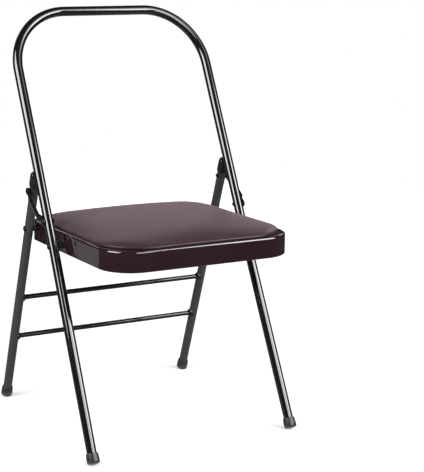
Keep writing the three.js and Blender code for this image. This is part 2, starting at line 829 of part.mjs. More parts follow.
// The rear frame: two legs joined by two rungs, with their ferrules, caps and pivots
function buildRearFrame(chair) {
  const frame = hinged(chair, new THREE.Vector2(stance, 0), rearAngle);
  add(frame, 'upper_rung', rung(), glossBlack).position.z = upperRungAlong;
  add(frame, 'lower_rung', rung(), glossBlack).position.z = lowerRungAlong;
  for (const [name, side] of Object.entries(sides)) {
    const leg = new THREE.Group();
    leg.position.x = side * halfWidth;
    frame.add(leg);
    leg.updateMatrixWorld();
    add(leg, `rear_leg_${name}`, rearLeg(), satinBlack);
    const footLevel = footAlong(rearTubeRadius, rearAngle);
    const footPiece = foot(rearTubeRadius, footLevel, leg.matrixWorld);
    add(leg, `rear_foot_${name}`, footPiece, blackPlastic);
    add(leg, `leg_cap_${name}`, legCap(), blackPlastic);

    const bushSeat = -rearTubeRadius - seatGap;
    const bush = ring(bushRadius, rivetRadius + seatGap, panFace + seatGap, bushSeat, side);
    add(frame, `rear_rivet_${name}`, rearRivet(side), blackSteel).position.z = rearPivotAlong;
    add(frame, `rear_bush_${name}`, bush, nylon).position.z = rearPivotAlong;
    add(frame, `link_stub_${name}`, linkStub(side), blackSteel).position.z = linkPinAlong;
  }
}

// The seat: the pan and what is fastened to it, drawn round its front pivot
function buildSeat(chair) {
  const seat = hinged(chair, seatPivot, -pitchAngle);
  add(seat, 'seat_pan', seatPan(), plumEnamel);
  add(seat, 'seat_board', seatBoard(), plywood);
  add(seat, 'seat_cushion', seatCushion(), plumVinyl);
  add(seat, 'seat_brace', seatBrace(), plumEnamel);
  for (const [name, side] of Object.entries(sides)) {
    add(seat, `hinge_plate_${name}`, hingePlate(side), plumEnamel);
  }
  screwPlaces().forEach(([x, y], i) => {
    add(seat, `cushion_screw_${i + 1}`, cushionScrew(), zinc).position.set(x, y, 0);
  });
}

// The two links that hold the rear legs to the front tube
function buildLinks(chair) {
  const links = hinged(chair, linkPivot, linkAngle);
  for (const [name, side] of Object.entries(sides)) {
    add(links, `link_${name}`, linkStrap(side), glossBlack);
    add(links, `link_head_${name}`, linkHead(side), blackSteel).position.y = linkReach;
  }
}

// The whole chair, moved so that its origin is on the floor under the middle of its outline
function buildChair() {
  const chair = new THREE.Group();
  buildFrontFrame(chair);
  buildRearFrame(chair);
  buildSeat(chair);
  buildLinks(chair);
  chair.updateMatrixWorld(true);
  const outline = new THREE.Box3().setFromObject(chair, true);
  chair.position.y = -(outline.min.y + outline.max.y) / 2;
  chair.updateMatrixWorld(true);
  return chair;
}

const group = buildChair();

export default group;
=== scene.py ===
# Backless yoga chair: its looks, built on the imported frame.
# Shapes are drawn in millimetres and placed in metres, +Z up, with the chair facing -Y.

import math

import bmesh
import bpy
from mathutils import Matrix, Vector

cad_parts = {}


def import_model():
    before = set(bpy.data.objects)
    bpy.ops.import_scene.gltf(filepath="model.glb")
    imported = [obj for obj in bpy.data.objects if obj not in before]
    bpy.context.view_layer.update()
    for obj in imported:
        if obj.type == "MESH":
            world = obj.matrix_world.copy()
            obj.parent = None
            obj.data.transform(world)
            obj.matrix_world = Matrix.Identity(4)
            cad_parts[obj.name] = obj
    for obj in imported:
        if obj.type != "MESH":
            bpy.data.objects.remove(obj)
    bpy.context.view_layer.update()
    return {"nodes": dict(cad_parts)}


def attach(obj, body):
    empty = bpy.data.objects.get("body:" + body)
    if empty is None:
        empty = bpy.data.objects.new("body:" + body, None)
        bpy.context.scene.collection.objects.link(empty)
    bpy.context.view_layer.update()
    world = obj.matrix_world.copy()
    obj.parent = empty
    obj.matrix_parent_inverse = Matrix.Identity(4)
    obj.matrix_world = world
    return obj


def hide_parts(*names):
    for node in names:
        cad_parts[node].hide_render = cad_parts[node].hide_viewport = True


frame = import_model()

MM = 0.001
SIDES = {"left": -1, "right": 1}

# Sizes shared with the solids, in millimetres; lengths along a leg start at the floor

ORIGIN_Y = 206.115              # from where the front legs meet the floor back to the chair's middle
HALF_WIDTH = 211
FRONT_LENGTH = 898.6
LOOP_RADIUS = 122
SPLAY = 4.8
FRONT_LEAN = math.radians(27.3)
REAR_LEAN = math.radians(18.15)
FRONT_TUBE = 9.5
REAR_TUBE = 9
RUNG = 5
UPPER_RUNG = 243.2
LOWER_RUNG = 149.4
SEAT_PIVOT = 420
LINK_PIVOT_RISE = 49.1
CROSSING_RISE = 161
GAP = 0.3
TUBE_START = 6

SHEET = 1.5
PAN_SIDE_ROOM = 7.7
PAN_HEIGHT = 40.5
PAN_EDGE = 5
HEM_WIDTH = 8
FRONT_CORNER = 64.8
REAR_CORNER = 34
FRONT_REACH = 225.7
PIVOT_ABOVE_HEM = 13.9
SEAT_PITCH = math.radians(1.28)
HINGE_PLATE = 8.5
HINGE_PLATE_ROOM = 2.9
HINGE_PLATE_THICKNESS = 2.5

CAP_LENGTH = 32
CAP_RISE = 6
CAP_RADIUS = 11.3
CAP_LIP = 10.4
CAP_EDGE = 8
CAP_FLARE = 5
CAP_BASE = 19

LINK_PIN_DROP = 8.3
LINK_WIDTH = 14.5
LINK_THICKNESS = 1.8
LINK_INNER = 10.6
LINK_STEP = 4.6
LINK_REAR_STEP = 2
LINK_FLAT = 9
LINK_RAMP = 7

# Sizes of this script's own detail

FOOT_LENGTH = 21.5
FOOT_RIM_WALL = 2.1
FOOT_BODY_WALL = 3
FOOT_EDGE = 4.6
FOOT_DOME = 1.2
FOOT_LIP = 0.8
FOOT_MOUTH = 0.5
FOOT_THROAT = 0.1
FOOT_BITE = 0.2
FOOT_SINK = 0.7                 # how far the heel is pressed in at the floor
FLOOR_CLEARANCE = 0.02

CAP_BEVEL = 0.4

RUNG_SINK = 1
WELD_FLARE = 3.6
WELD_START = 7.6
WELD_LENGTH = 8
WELD_POWER = 2.6

BOLT = 3.2
BOLT_HEAD = 2.2
RIVET = 3
RIVET_HEAD = 2
HEAD_RADIUS = 6
HEAD_BEVEL = 0.15
TAIL_RADIUS = 5
TAIL_HEIGHT = 2
TAIL_BEVEL = 0.2
NUT_ROOM = 7

LINK_SOFTNESS = 0.45

HEM_EDGE = 2
HEM_CREASE = (0.3, 0.2)
HEM_LIP = (0.4, 0.6)
PAN_FLAT = 30                   # the inset at which the pan's top is closed by one flat face
INNER_HOLD = 2                  # from the pan's bends to the rings that keep its faces flat
SIDE_HOLD = 6
TOP_HOLD = 3

CUSHION_INSET = 3.6
CUSHION_BASE = 1.6
CUSHION_EDGE = 6.4
CUSHION_CROWN = 28.2
CUSHION_SWELL = 3.5
CUSHION_FRONT_CORNER = 90
CUSHION_REAR_CORNER = 76
CUSHION_DRAW = 1.5
CROWN_POWER = 0.62
CORNER_STEPS = 14
SIDE_STEPS = 30
ROLL_WIDTH = 7.5
ROLL_POWER = 1.2
ROLL_TURN = math.radians(70)
BLEND_WIDTH = 5
BLEND_RISE = 1.6


# Where the pivots lie in the side view, as front-to-back and height

def front_point(along):
    return Vector((along * math.sin(FRONT_LEAN), along * math.cos(FRONT_LEAN)))


def rear_point(along):
    return Vector((STANCE - along * math.sin(REAR_LEAN), along * math.cos(REAR_LEAN)))


def placed(point, turn):
    """The frame of a group that stands at a point of the side view and is turned about X."""
    return (Matrix.Diagonal((MM, MM, MM, 1)) @ Matrix.Translation((0, point.x - ORIGIN_Y, point.y))
            @ Matrix.Rotation(turn, 4, "X"))


def rear_along_at(rise):
    """How far along the rear leg its axis is at a height above the seat's pivot in the pan."""
    level = SEAT_POINT.y * math.cos(SEAT_PITCH) + (SEAT_POINT.x - STANCE) * math.sin(SEAT_PITCH)
    return (level + rise) / math.cos(REAR_LEAN + SEAT_PITCH)


BETWEEN = FRONT_LEAN + REAR_LEAN
SEAT_POINT = front_point(SEAT_PIVOT)
LINK_PIVOT = SEAT_PIVOT + LINK_PIVOT_RISE
CROSSING_POINT = front_point(SEAT_PIVOT + CROSSING_RISE)
CROSSING = CROSSING_POINT.y / math.cos(REAR_LEAN)
STANCE = CROSSING_POINT.x + CROSSING_POINT.y * math.tan(REAR_LEAN)
PAN_TOP = PAN_HEIGHT - PIVOT_ABOVE_HEM
REAR_PIVOT = rear_along_at(PAN_TOP - SHEET - HINGE_PLATE_ROOM - HINGE_PLATE)
CAP_REACH = FRONT_TUBE + GAP + CAP_EDGE + (CAP_RADIUS - CAP_EDGE) * math.cos(BETWEEN)
CAP_TOP = CROSSING - CAP_REACH / math.sin(BETWEEN) + CAP_EDGE + CAP_RISE
LINK_PIN = CAP_TOP - CAP_LENGTH - LINK_PIN_DROP
LINK_VECTOR = rear_point(LINK_PIN) - front_point(LINK_PIVOT)
LINK_REACH = LINK_VECTOR.length
REAR_IN_SEAT = Matrix.Rotation(SEAT_PITCH, 2) @ (rear_point(REAR_PIVOT) - SEAT_POINT)
PAN_WIDTH = 2 * (HALF_WIDTH - FRONT_TUBE - PAN_SIDE_ROOM)
PAN_REAR = REAR_IN_SEAT.x + HINGE_PLATE + GAP + REAR_CORNER
PLATE_BACK = PAN_WIDTH / 2 - HALF_WIDTH - SHEET - GAP - HINGE_PLATE_THICKNESS

FRONT_FRAME = placed(Vector((0, 0)), -FRONT_LEAN)
REAR_FRAME = placed(Vector((STANCE, 0)), REAR_LEAN)
SEAT_FRAME = placed(SEAT_POINT, -SEAT_PITCH)
LINK_FRAME = placed(front_point(LINK_PIVOT), math.atan2(LINK_VECTOR.y, LINK_VECTOR.x))


# Meshes

def new_piece(name, verts, faces, matrix, mat, body, replaces, sharp=40):
    """A smooth-shaded piece that rides on a body and stands for CAD nodes."""
    mesh = bpy.data.meshes.new(name)
    mesh.from_pydata([tuple(matrix @ Vector(v)) for v in verts], [], faces)
    mesh.validate()
    mesh.update()
    obj = bpy.data.objects.new(name, mesh)
    bpy.context.scene.collection.objects.link(obj)
    make_outward(obj)
    mesh.shade_smooth()
    mesh.set_sharp_from_angle(angle=math.radians(sharp))
    mesh.materials.append(mat)
    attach(obj, body)
    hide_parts(*replaces)
    return obj


def make_outward(obj):
    """Turns all faces outwards."""
    bm = bmesh.new()
    bm.from_mesh(obj.data)
    bmesh.ops.recalc_face_normals(bm, faces=bm.faces)
    bm.to_mesh(obj.data)
    bm.free()


def grid_faces(rings, count, closed=True):
    """Quads between rings of equally many points."""
    faces = []
    for i in range(rings - 1):
        for j in range(count if closed else count - 1):
            a = i * count + j
            b = i * count + (j + 1) % count
            faces.append((a, b, b + count, a + count))
    return faces


def shares(steps):
    """How much of the way is done at each of some equal steps, from 0 to 1."""
    return [i / steps for i in range(steps + 1)]


def circle(radius, sides):
    """Points evenly round a circle."""
    angles = [2 * math.pi * j / sides for j in range(sides)]
    return [(radius * math.cos(angle), radius * math.sin(angle)) for angle in angles]


def arc(x, y, radius, start, end, steps):
    """Points round an arc's centre, from one direction to another in degrees."""
    angles = [math.radians(start + (end - start) * share) for share in shares(steps)]
    return [(x + radius * math.cos(angle), y + radius * math.sin(angle)) for angle in angles]


def lathe(profile, sides):
    """A turned form about +Z from radius and height pairs; points on the axis are joined as one."""
    verts = []
    starts = []
    for radius, height in profile:
        starts.append(len(verts))
        if radius == 0:
            verts.append((0, 0, height))
        else:
            verts += [(x, y, height) for x, y in circle(radius, sides)]
    faces = []
    for i in range(len(profile) - 1):
        a = starts[i]
        b = starts[i + 1]
        for j in range(sides):
            k = (j + 1) % sides
            if profile[i][0] == 0:
                faces.append((a, b + k, b + j))
            elif profile[i + 1][0] == 0:
                faces.append((a + j, a + k, b))
            else:
                faces.append((a + j, a + k, b + k, b + j))
    return verts, faces


# Materials

def shader(name):
    mat = bpy.data.materials.new(name)
    mat.use_nodes = True
    nodes = mat.node_tree.nodes
    links = mat.node_tree.links
    return mat, nodes, links, nodes["Principled BSDF"]


def noise(nodes, links, scale, detail=2.0, stretch=(1, 1, 1)):
    """Noise in the piece's own coordinates, the scale in features per metre."""
    coords = nodes.new("ShaderNodeTexCoord")
    mapping = nodes.new("ShaderNodeMapping")
    mapping.inputs["Scale"].default_value = stretch
    texture = nodes.new("ShaderNodeTexNoise")
    texture.inputs["Scale"].default_value = scale
    texture.inputs["Detail"].default_value = detail
    links.new(coords.outputs["Object"], mapping.inputs["Vector"])
    links.new(mapping.outputs["Vector"], texture.inputs["Vector"])
    return texture.outputs["Fac"]


def spread(nodes, links, value, low, high):
    """A value from 0.3 to 0.7 spread between two others."""
    span = nodes.new("ShaderNodeMapRange")
    span.inputs["From Min"].default_value = 0.3
    span.inputs["From Max"].default_value = 0.7
    span.inputs["To Min"].default_value = low
    span.inputs["To Max"].default_value = high
    links.new(value, span.inputs["Value"])
    return span.outputs["Result"]


def tinted(nodes, links, value, dark, light):
    """A colour between two, by a value."""
    ramp = nodes.new("ShaderNodeValToRGB")
    ramp.color_ramp.elements[0].position = 0.3
    ramp.color_ramp.elements[1].position = 0.7
    ramp.color_ramp.elements[0].color = (*dark, 1)
    ramp.color_ramp.elements[1].color = (*light, 1)
    links.new(value, ramp.inputs["Fac"])
    return ramp.outputs["Color"]


def bumped(nodes, links, bsdf, height, distance, strength):
    """Adds a bump to a shader."""
    bump = nodes.new("ShaderNodeBump")
    bump.inputs["Distance"].default_value = distance
    bump.inputs["Strength"].default_value = strength
    links.new(height, bump.inputs["Height"])
    links.new(bump.outputs["Normal"], bsdf.inputs["Normal"])


def finish(name, dark, light, rough, tone_noise, rough_noise, bump_noise, distance, strength):
    """A finish whose tone, roughness and bump each follow a noise of their own scale and detail."""
    mat, nodes, links, bsdf = shader(name)
    tone = tinted(nodes, links, noise(nodes, links, *tone_noise), dark, light)
    links.new(tone, bsdf.inputs["Base Color"])
    gloss = spread(nodes, links, noise(nodes, links, *rough_noise), *rough)
    links.new(gloss, bsdf.inputs["Roughness"])
    bumped(nodes, links, bsdf, noise(nodes, links, *bump_noise), distance, strength)
    return mat, bsdf


def enamel(name, dark, light, rough, peel, ior=1.5):
    """Stoved enamel: a faint orange peel, with its gloss a little uneven."""
    mat, bsdf = finish(name, dark, light, rough, tone_noise=(9, 4), rough_noise=(35, 3),
                       bump_noise=(260, 1), distance=0.0004, strength=peel)
    bsdf.inputs["IOR"].default_value = ior
    return mat


def rubber(name, dark, light, rough):
    """Moulded rubber or plastic with a fine skin."""
    return finish(name, dark, light, rough, tone_noise=(60, 4), rough_noise=(300, 3),
                  bump_noise=(1500, 2), distance=0.0002, strength=0.15)[0]


def plated(name, dark, light, rough):
    """Bright plated steel."""
    mat, bsdf = finish(name, dark, light, rough, tone_noise=(120, 4), rough_noise=(400, 3),
                       bump_noise=(900, 2), distance=0.0002, strength=0.1)
    bsdf.inputs["Metallic"].default_value = 1.0
    return mat


def vinyl():
    """Soft vinyl with a fine leather grain."""
    mat, nodes, links, bsdf = shader("vinyl")
    dark = (0.0325, 0.0150, 0.0185)
    light = (0.0360, 0.0170, 0.0210)
    links.new(tinted(nodes, links, noise(nodes, links, 90, 4), dark, light), bsdf.inputs["Base Color"])
    links.new(spread(nodes, links, noise(nodes, links, 160, 3), 0.36, 0.42), bsdf.inputs["Roughness"])
    coords = nodes.new("ShaderNodeTexCoord")
    cells = nodes.new("ShaderNodeTexVoronoi")
    cells.feature = "DISTANCE_TO_EDGE"
    cells.inputs["Scale"].default_value = 620
    links.new(coords.outputs["Object"], cells.inputs["Vector"])
    bumped(nodes, links, bsdf, cells.outputs["Distance"], 0.0003, 0.25)
    bsdf.inputs["IOR"].default_value = 1.42
    bsdf.inputs["Sheen Weight"].default_value = 0.2
    bsdf.inputs["Sheen Roughness"].default_value = 0.35
    bsdf.inputs["Sheen Tint"].default_value = (1.0, 0.68, 0.80, 1)
    return mat


def plywood():
    """Bare plywood: its grain runs across the seat."""
    mat, nodes, links, bsdf = shader("plywood")
    grain = noise(nodes, links, 40, 6, (0.15, 1, 3))
    tone = tinted(nodes, links, grain, (0.36, 0.22, 0.11), (0.52, 0.35, 0.19))
    links.new(tone, bsdf.inputs["Base Color"])
    links.new(spread(nodes, links, grain, 0.7, 0.85), bsdf.inputs["Roughness"])
    bumped(nodes, links, bsdf, grain, 0.0005, 0.3)
    return mat


GLOSS_BLACK = enamel("gloss_black", (0.0035, 0.0032, 0.0035), (0.0055, 0.005, 0.0055),
                     (0.05, 0.09), 0.004, 1.92)
SEMI_BLACK = enamel("semi_black", (0.004, 0.0038, 0.004), (0.006, 0.0056, 0.006),
                    (0.1, 0.16), 0.006, 1.6)
SATIN_BLACK = enamel("satin_black", (0.042, 0.0412, 0.042), (0.050, 0.049, 0.050),
                     (0.36, 0.46), 0.05)
PLUM = enamel("plum", (0.0165, 0.0058, 0.0078), (0.0205, 0.0078, 0.0100),
              (0.06, 0.1), 0.004, 1.92)
PLUM_INSIDE = enamel("plum_inside", (0.017, 0.0065, 0.0085), (0.023, 0.0092, 0.0115),
                     (0.34, 0.46), 0.03)
BLACK_STEEL = enamel("black_steel", (0.006, 0.006, 0.006), (0.011, 0.011, 0.011),
                     (0.2, 0.32), 0.05)
RUBBER = rubber("rubber", (0.022, 0.022, 0.022), (0.032, 0.032, 0.032), (0.22, 0.32))
CAP_BLACK = rubber("cap_black", (0.012, 0.012, 0.012), (0.018, 0.018, 0.018), (0.18, 0.28))
NYLON = rubber("nylon", (0.010, 0.010, 0.010), (0.016, 0.016, 0.016), (0.4, 0.55))
ZINC = plated("zinc", (0.52, 0.53, 0.55), (0.68, 0.69, 0.71), (0.22, 0.36))
VINYL = vinyl()
PLYWOOD = plywood()


# Feet and pins

def foot_profile(tube):
    """A ferrule: a domed sole, a full round edge, slightly tapered sides and a crisp upper rim."""
    rim = tube + FOOT_RIM_WALL
    body = tube + FOOT_BODY_WALL
    sole = body - FOOT_EDGE
    bore = tube - FOOT_BITE
    shoulder = FOOT_DOME + FOOT_EDGE
    lip = FOOT_LENGTH - FOOT_LIP
    profile = [(sole * share, FOOT_DOME * share ** 2) for share in shares(6)[:-1]]
    profile += arc(sole, shoulder, FOOT_EDGE, -90, 0, 10)
    for share in shares(5)[1:]:
        profile.append((body - (body - rim) * share ** 1.5, shoulder + (lip - shoulder) * share))
    profile += arc(rim - FOOT_LIP, lip, FOOT_LIP, 0, 90, 4)[1:]
    profile += [(tube + FOOT_MOUTH, FOOT_LENGTH), (tube + FOOT_THROAT, FOOT_LENGTH - FOOT_LIP / 2)]
    profile += [(bore, lip), (bore, TUBE_START), (0, TUBE_START)]
    return profile


def foot_along(tube, lean):
    """How far along a leg its ferrule's sole lies."""
    profile = foot_profile(tube)
    lowest = min(height * math.cos(lean) - radius * math.sin(lean) for radius, height in profile)
    return -(lowest + FOOT_SINK) / math.cos(lean)


def foot(name, side, tube, lean, matrix, body):
    """A ferrule on a leg, flattened where it meets the floor."""
    verts, faces = lathe(foot_profile(tube), 56)
    to_floor = matrix @ Matrix.Translation((0, 0, foot_along(tube, lean)))
    flat = []
    for vert in verts:
        point = to_floor @ Vector(vert)
        point.z = max(point.z, FLOOR_CLEARANCE * MM)
        flat.append(point)
    new_piece(f"{name}_{side}_rubber", flat, faces, Matrix.Identity(4), RUBBER, body,
              [f"{name}_{side}"], 50)


def head_profile(height, seat):
    """A domed head with a short upright rim, from its rim to the axis."""
    rim = height / 4
    profile = [(HEAD_RADIUS - HEAD_BEVEL, seat), (HEAD_RADIUS, seat + HEAD_BEVEL),
               (HEAD_RADIUS, seat + rim)]
    for share in shares(10)[1:-1]:
        angle = math.pi / 2 * share
        radius = HEAD_RADIUS * math.cos(angle) ** 0.9
        profile.append((radius, seat + rim + (height - rim) * math.sin(angle)))
    return profile + [(0, seat + height)]


def pin(name, node, side, place, group, body, radius, inner, head_height, seat, tail=False):
    """A headed pin that points out of the chair, with a low cone for its tail head if it has one."""
    profile = [(0, inner)]
    if tail:
        end = inner - TAIL_HEIGHT
        profile = [(0, end), (TAIL_RADIUS * 0.6, end), (TAIL_RADIUS * 0.75, end + TAIL_BEVEL),
                   (TAIL_RADIUS, inner - TAIL_BEVEL), (TAIL_RADIUS, inner)]
    profile += [(radius, inner), (radius, seat)] + head_profile(head_height, seat)
    verts, faces = lathe(profile, 40)
    matrix = (group @ Matrix.Translation((SIDES[side] * HALF_WIDTH, *place))
              @ Matrix.Rotation(SIDES[side] * math.pi / 2, 4, "Y"))
    new_piece(f"{name}_{side}", verts, faces, matrix, BLACK_STEEL, body,
              [f"{node}_{side}"], 45)


# The front frame

def front_axis():
    """The front tube's axis in the plane of its loop, from the left foot over the top to the right."""
    points = [(-(HALF_WIDTH + SPLAY * (1 - TUBE_START / SEAT_PIVOT)), TUBE_START)]
    reach = 40
    for share in shares(12):
        out = SPLAY / SEAT_PIVOT * reach * (1 - share) ** 2
        points.append((-(HALF_WIDTH + out), SEAT_PIVOT - reach + 2 * reach * share))
    points += arc(LOOP_RADIUS - HALF_WIDTH, FRONT_LENGTH - LOOP_RADIUS, LOOP_RADIUS, 180, 90, 40)
    return points + [(-x, z) for x, z in reversed(points)]


def front_tube():
    """A round tube along its axis in the XZ plane."""
    points = front_axis()
    sides = 64
    last = len(points) - 1
    verts = []
    for i, (x, z) in enumerate(points):
        before = points[max(i - 1, 0)]
        after = points[min(i + 1, last)]
        a = Vector((x - before[0], z - before[1]))
        b = Vector((after[0] - x, after[1] - z))
        run = (a.normalized() + b.normalized()).normalized()
        verts += [(x + run.y * out, across, z - run.x * out)
                  for out, across in circle(FRONT_TUBE, sides)]
    new_piece("loop_tube", verts, grid_faces(len(points), sides), FRONT_FRAME, GLOSS_BLACK,
              "front_frame", ["front_tube"])


front_tube()
for name, side in SIDES.items():
    leg = (FRONT_FRAME @ Matrix.Translation((side * (HALF_WIDTH + SPLAY), 0, 0))
           @ Matrix.Rotation(-side * math.atan(SPLAY / SEAT_PIVOT), 4, "Y"))
    foot("front_foot", name, FRONT_TUBE, FRONT_LEAN, leg, "front_frame")
    pin("seat_pivot", "seat_bolt", name, (0, SEAT_PIVOT), FRONT_FRAME, "front_frame",
        BOLT, PLATE_BACK - GAP - NUT_ROOM, BOLT_HEAD, FRONT_TUBE + GAP)
    pin("link_pivot", "link_rivet", name, (0, LINK_PIVOT), FRONT_FRAME, "front_frame",
        RIVET, -FRONT_TUBE - GAP, RIVET_HEAD, LINK_INNER + LINK_THICKNESS + GAP, tail=True)


# The rear frame

def leg_cap(side):
    """The cap on a rear leg's top: a soft dome, with a slanted flat that bears on the front tube."""
    bottom = CAP_TOP - CAP_LENGTH
    base = CAP_TOP - CAP_BASE
    bore = REAR_TUBE - GAP
    lip = bottom + CAP_BEVEL
    flare = CAP_RADIUS - CAP_LIP
    straight = CAP_LENGTH - CAP_FLARE - CAP_EDGE
    dome = CAP_RADIUS - CAP_EDGE
    profile = [(0, base), (bore, base), (bore, bottom), (CAP_LIP - CAP_BEVEL, bottom)]
    profile += [(CAP_LIP + flare * share ** 0.7, lip + CAP_FLARE * share) for share in shares(4)]
    profile += [(CAP_RADIUS, bottom + CAP_FLARE + straight * share) for share in shares(10)[1:-1]]
    profile += arc(dome, CAP_TOP - CAP_EDGE, CAP_EDGE, 0, 90, 14)
    profile += [(dome * (1 - share), CAP_TOP) for share in shares(3)[1:]]
    verts, faces = lathe(profile, 56)
    facing = Vector((0, math.cos(BETWEEN), -math.sin(BETWEEN)))
    crossing = Vector((0, 0, CROSSING))
    fitted = []
    for vert in verts:
        point = Vector(vert)
        depth = FRONT_TUBE + GAP - (point - crossing).dot(facing)
        fitted.append(point + facing * max(depth, 0))
    matrix = REAR_FRAME @ Matrix.Translation((SIDES[side] * HALF_WIDTH, 0, 0))
    new_piece(f"leg_top_{side}", fitted, faces, matrix, CAP_BLACK, "rear_frame",
              [f"leg_cap_{side}"], 35)


def rung(name, node, along):
    """A rung with a weld bead's flare at each end."""
    reach = HALF_WIDTH - RUNG_SINK
    weld = reach - WELD_START
    straight = weld - WELD_LENGTH
    end = [(RUNG + WELD_FLARE, reach)]
    end += [(RUNG + WELD_FLARE * (1 - share) ** WELD_POWER, weld - WELD_LENGTH * share)
            for share in shares(12)]
    middle = [(RUNG, straight * (2 * share - 1)) for share in shares(6)[1:-1]]
    verts, faces = lathe([(radius, -height) for radius, height in end] + middle + end[::-1], 48)
    matrix = REAR_FRAME @ Matrix.Translation((0, 0, along)) @ Matrix.Rotation(math.pi / 2, 4, "Y")
    new_piece(name, verts, faces, matrix, SEMI_BLACK, "rear_frame", [node])


def rear_leg(side, matrix):
    """A straight leg tube from inside its ferrule to inside its cap."""
    bottom = foot_along(REAR_TUBE, REAR_LEAN) + TUBE_START + GAP
    top = CAP_TOP - CAP_BASE - GAP
    verts, faces = lathe([(REAR_TUBE, bottom + (top - bottom) * share) for share in shares(8)], 56)
    new_piece(f"leg_{side}", verts, faces, matrix, SATIN_BLACK, "rear_frame",
              [f"rear_leg_{side}"])


rung("rung_upper", "upper_rung", UPPER_RUNG)
rung("rung_lower", "lower_rung", LOWER_RUNG)
for name, side in SIDES.items():
    leg = REAR_FRAME @ Matrix.Translation((side * HALF_WIDTH, 0, 0))
    leg_cap(name)
    rear_leg(name, leg)
    foot("rear_foot", name, REAR_TUBE, REAR_LEAN, leg, "rear_frame")
    pin("rear_pivot", "rear_rivet", name, (0, REAR_PIVOT), REAR_FRAME, "rear_frame",
        RIVET, PLATE_BACK - GAP, RIVET_HEAD, REAR_TUBE + GAP, tail=True)


# The links

def eased(share):
    """A smooth step from 0 to 1."""
    share = min(max(share, 0), 1)
    return share * share * (3 - 2 * share)


def link_inner(y):
    """How far out a strap's inner face is at a distance from its front pivot."""
    rise = eased((y - LINK_FLAT) / LINK_RAMP)
    fall = eased((y - (LINK_REACH - LINK_FLAT - LINK_RAMP)) / LINK_RAMP)
    return LINK_INNER + LINK_STEP * rise - (LINK_STEP - LINK_REAR_STEP) * fall


def link(side):
    """A stepped strap with round ends and softened edges."""
    half = LINK_WIDTH / 2
    tip = 0.1
    stations = []
    for share in shares(46):
        y = -half + (LINK_REACH + 2 * half) * (1 - math.cos(math.pi * share)) / 2
        beyond = max(-y, y - LINK_REACH, 0)
        stations.append((y, math.sqrt(max(half ** 2 - beyond ** 2, tip ** 2))))
    upper = LINK_THICKNESS - LINK_SOFTNESS
    shoulder = LINK_THICKNESS - LINK_SOFTNESS * 0.3
    section = [(-1, LINK_SOFTNESS), (-1, upper), (-0.988, shoulder), (-0.955, LINK_THICKNESS),
               (0.955, LINK_THICKNESS), (0.988, shoulder), (1, upper), (1, LINK_SOFTNESS),
               (0.955, 0), (-0.955, 0)]
    verts = []
    for y, width in stations:
        for across, depth in section:
            verts.append((SIDES[side] * (HALF_WIDTH + link_inner(y) + depth), y, across * width))
    faces = grid_faces(len(stations), len(section))
    faces += [tuple(range(len(section))), tuple(range(len(verts) - len(section), len(verts)))]
    new_piece(f"link_strap_{side}", verts, faces, LINK_FRAME, SEMI_BLACK, f"{side}_link",
              [f"link_{side}"], 50)


for name in SIDES:
    rear_face = LINK_INNER + LINK_REAR_STEP
    link(name)
    pin("link_rear_head", "link_head", name, (LINK_REACH, 0), LINK_FRAME, f"{name}_link",
        RIVET, rear_face, RIVET_HEAD, rear_face + LINK_THICKNESS + GAP)


# The seat

def seat_ring(inset, height, front_corner, rear_corner, draw=0.0, corner_steps=16, side_steps=14):
    """The seat's plan at an inset from the pan's edge, its sides drawn in between the corners."""
    right = PAN_WIDTH / 2 - inset
    left = -right
    front = -FRONT_REACH + inset
    rear = PAN_REAR - inset
    a = front_corner - inset
    b = rear_corner - inset
    corners = [(right - a, front + a, a, -90), (right - b, rear - b, b, 0),
               (left + b, rear - b, b, 90), (left + a, front + a, a, 180)]
    arcs = []
    for x, y, radius, start in corners:
        pairs = arc(x, y, radius, start, start + 90, corner_steps)
        arcs.append([Vector((px, py, height)) for px, py in pairs])
    ring = []
    for corner, following in zip(arcs, arcs[1:] + arcs[:1]):
        start = corner[-1]
        end = following[0]
        inwards = Vector((start.y - end.y, end.x - start.x, 0)).normalized()
        ring += corner
        ring += [start.lerp(end, share) + inwards * draw * math.sin(math.pi * share)
                 for share in shares(side_steps)[1:-1]]
    return ring


def pan_ring(inset, height):
    return seat_ring(inset, height, FRONT_CORNER, REAR_CORNER)


def pan_edge(inset, height, radius, start, end, steps):
    return [pan_ring(i, h) for i, h in arc(inset, height, radius, start, end, steps)]


def pan():
    """The pressed pan: flat top, round edge, upright sides and a hem turned in."""
    hem = -PIVOT_ABOVE_HEM
    bend = PAN_TOP - PAN_EDGE
    hem_inside = hem + SHEET
    under = PAN_TOP - SHEET
    inside = [pan_ring(PAN_FLAT, under), pan_ring(PAN_EDGE + INNER_HOLD, under)]
    inside += pan_edge(PAN_EDGE, bend, PAN_EDGE - SHEET, 90, 180, 6)
    inside += [pan_ring(SHEET, hem_inside + INNER_HOLD),
               pan_ring(SHEET + HEM_CREASE[0], hem_inside + HEM_CREASE[1]),
               pan_ring(HEM_WIDTH, hem_inside)]
    outside = [pan_ring(HEM_WIDTH + HEM_LIP[0], hem + HEM_LIP[1]), pan_ring(HEM_WIDTH, hem)]
    outside += pan_edge(HEM_EDGE, hem + HEM_EDGE, HEM_EDGE, 270, 180, 6)
    outside += [pan_ring(0, hem + HEM_EDGE + SIDE_HOLD), pan_ring(0, bend - SIDE_HOLD)]
    outside += pan_edge(PAN_EDGE, bend, PAN_EDGE, 180, 90, 12)
    outside += [pan_ring(PAN_EDGE + TOP_HOLD, PAN_TOP), pan_ring(PAN_FLAT, PAN_TOP)]
    rings = inside + outside
    count = len(rings[0])
    verts = [point for ring in rings for point in ring]
    faces = grid_faces(len(rings), count)
    under_top = len(faces)
    faces += [tuple(range(count)), tuple(range(len(verts) - count, len(verts)))]
    obj = new_piece("pan", verts, faces, SEAT_FRAME, PLUM, "seat", ["seat_pan"], 50)
    obj.data.materials.append(PLUM_INSIDE)
    inner = (len(inside) - 1) * count
    for face in obj.data.polygons:
        if face.index < inner or face.index == under_top:
            face.material_index = 1


